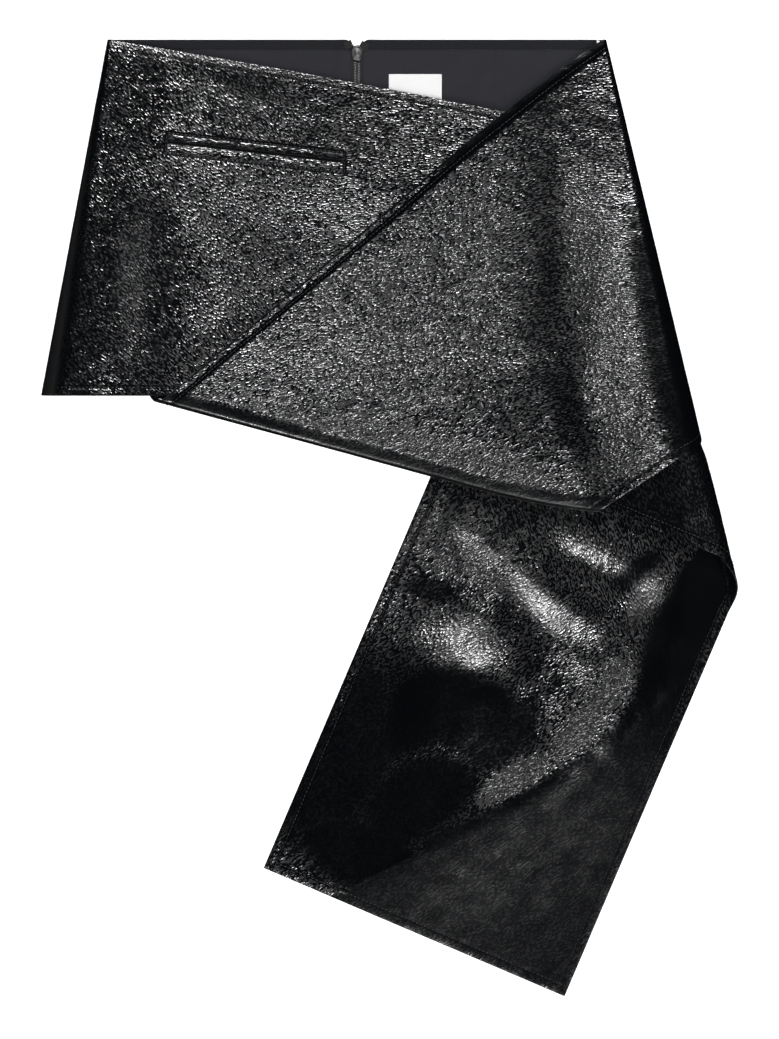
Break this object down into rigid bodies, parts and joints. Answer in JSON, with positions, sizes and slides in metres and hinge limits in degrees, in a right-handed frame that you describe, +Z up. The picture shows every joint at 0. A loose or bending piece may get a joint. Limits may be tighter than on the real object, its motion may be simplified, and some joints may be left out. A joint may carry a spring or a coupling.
{
  "type": "vinyl mini skirt",
  "caption": "Black crinkled vinyl A-line mini skirt laid flat, with a slanting waist, a welt pocket and a wide scarf that wraps the front, folds at the side and trails past the hem.",
  "frame": {"origin": "middle of the garment's bounding box, on the surface that it lies on", "axes": "+Y towards the waist, +X towards the side where the scarf folds, +Z up out of the surface"},
  "size_m": [0.5421, 0.7455, 0.04],
  "materials": {
    "vinyl": "glossy black, finely crinkled",
    "cotton": "matt charcoal twill",
    "label": "white satin weave, blank",
    "zip": "woven tape with a nylon coil",
    "gunmetal": "dark plated, satin"
  },
  "bodies": {
    "root": {"skirt_back_left": "vinyl", "skirt_back_right": "vinyl", "skirt_front": "vinyl", "pocket_welt_upper": "vinyl", "pocket_welt_lower": "vinyl", "scarf_wrap": "vinyl", "scarf_tail": "vinyl", "pocket_bag": "cotton", "facing_side_left": "cotton", "facing_left": "cotton", "facing_right": "cotton", "facing_side_right": "cotton", "label_blank": "label", "zip_tape_left": "zip", "zip_tape_right": "zip", "zip_coil_left": "zip", "zip_coil_right": "zip", "zip_slider": "gunmetal"}
  },
  "joints": []
}
